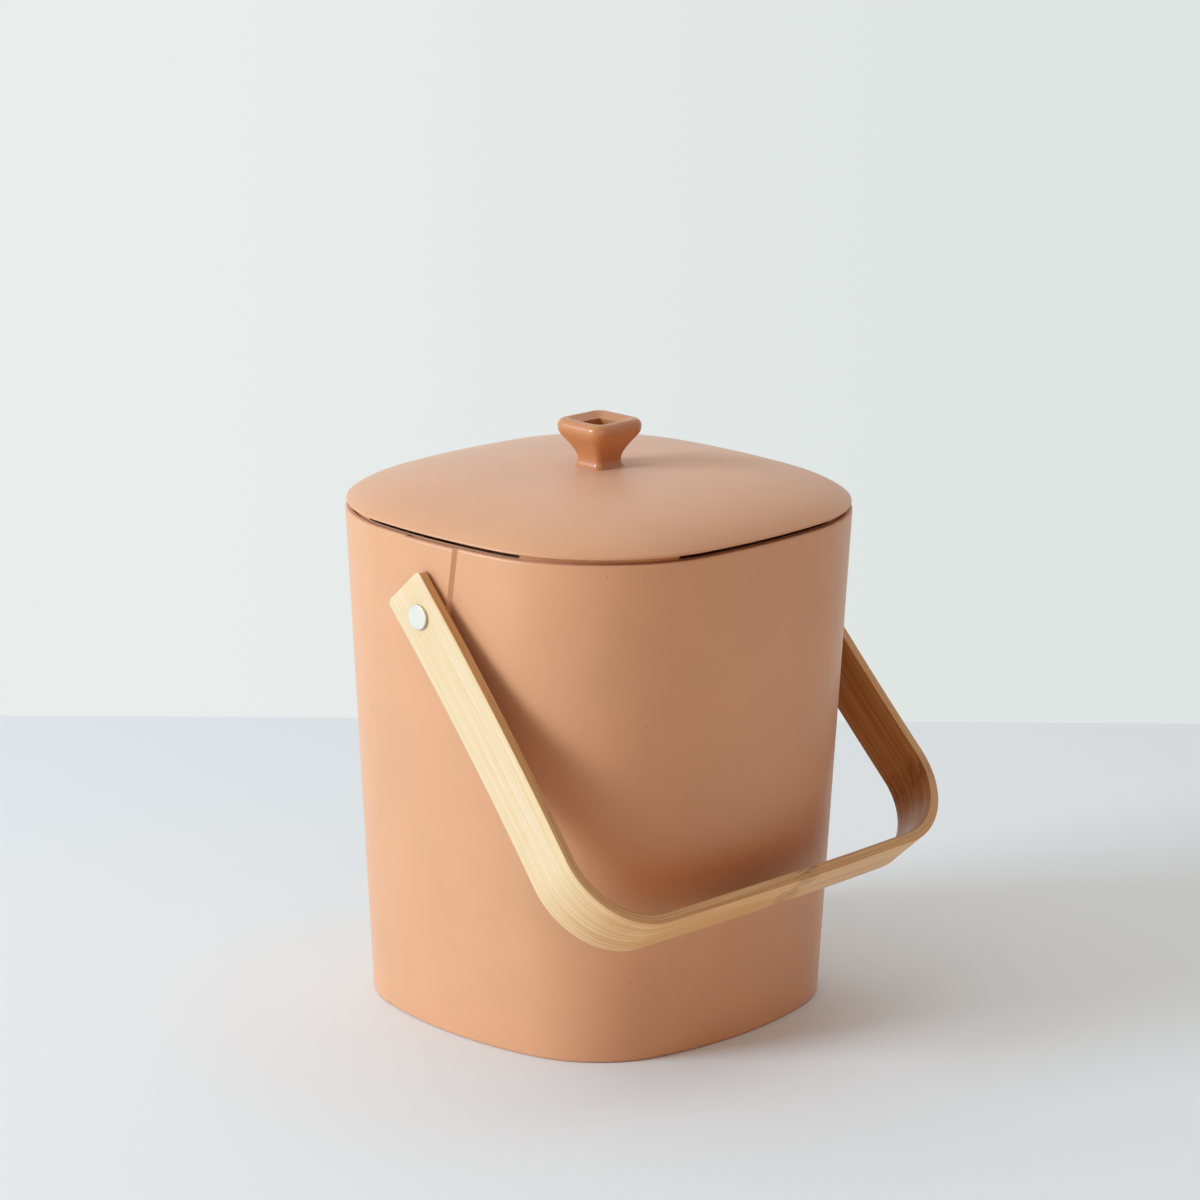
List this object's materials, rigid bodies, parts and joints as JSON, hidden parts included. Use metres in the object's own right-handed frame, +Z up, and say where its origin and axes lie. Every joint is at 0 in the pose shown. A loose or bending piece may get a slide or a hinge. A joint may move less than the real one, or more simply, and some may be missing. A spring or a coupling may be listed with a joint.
{
  "type": "compost bin",
  "caption": "Rounded-square kitchen compost bin with a bent bamboo bail on rivets and a domed lift-off lid that holds a charcoal filter pad in a slotted tray.",
  "frame": {"origin": "centre of the bucket's flat base, on the worktop", "axes": "+Z up through the knob, X runs from rivet to rivet, and at rest the bail leans over the -Y side"},
  "size_m": [0.2018, 0.1987, 0.2344],
  "materials": {
    "bucket_plastic": "moulded satin, fine dark specks",
    "lid_plastic": "moulded satin, fine dark specks",
    "knob_plastic": "moulded semi-gloss",
    "bamboo": "clear satin lacquer over lengthwise grain",
    "rivet_steel": "tumbled matte",
    "zinc_steel": "zinc plated",
    "nylon": "natural nylon",
    "charcoal": "needled carbon felt"
  },
  "bodies": {
    "bin": {"bin_body": "bucket_plastic", "rivet_left": "rivet_steel", "rivet_right": "rivet_steel", "spacer_washer_left": "nylon", "spacer_washer_right": "nylon", "backing_washer_left": "zinc_steel", "backing_washer_right": "zinc_steel"},
    "bail": {"handle": "bamboo"},
    "lid": {"lid_cover": "lid_plastic", "lid_base": "lid_plastic", "lid_knob": "knob_plastic", "knob_screw": "zinc_steel", "knob_washer": "zinc_steel", "lid_screws": "zinc_steel"},
    "filter": {"filter_tray": "lid_plastic", "charcoal_pad": "charcoal"}
  },
  "joints": [
    {"name": "handle_hinge", "type": "hinge", "parent": "bin", "child": "bail", "pos_m": [0, 0, 0.1717], "axis": [-1, 0, 0], "range_deg": [-1.5, 276.7]},
    {"name": "lid_lift", "type": "slide", "parent": "bin", "child": "lid", "axis": [0, 0, 1], "range_m": [0, 0.15]},
    {"name": "filter_slide", "type": "slide", "parent": "lid", "child": "filter", "axis": [0, 0, -1], "range_m": [0, 0.04]}
  ]
}
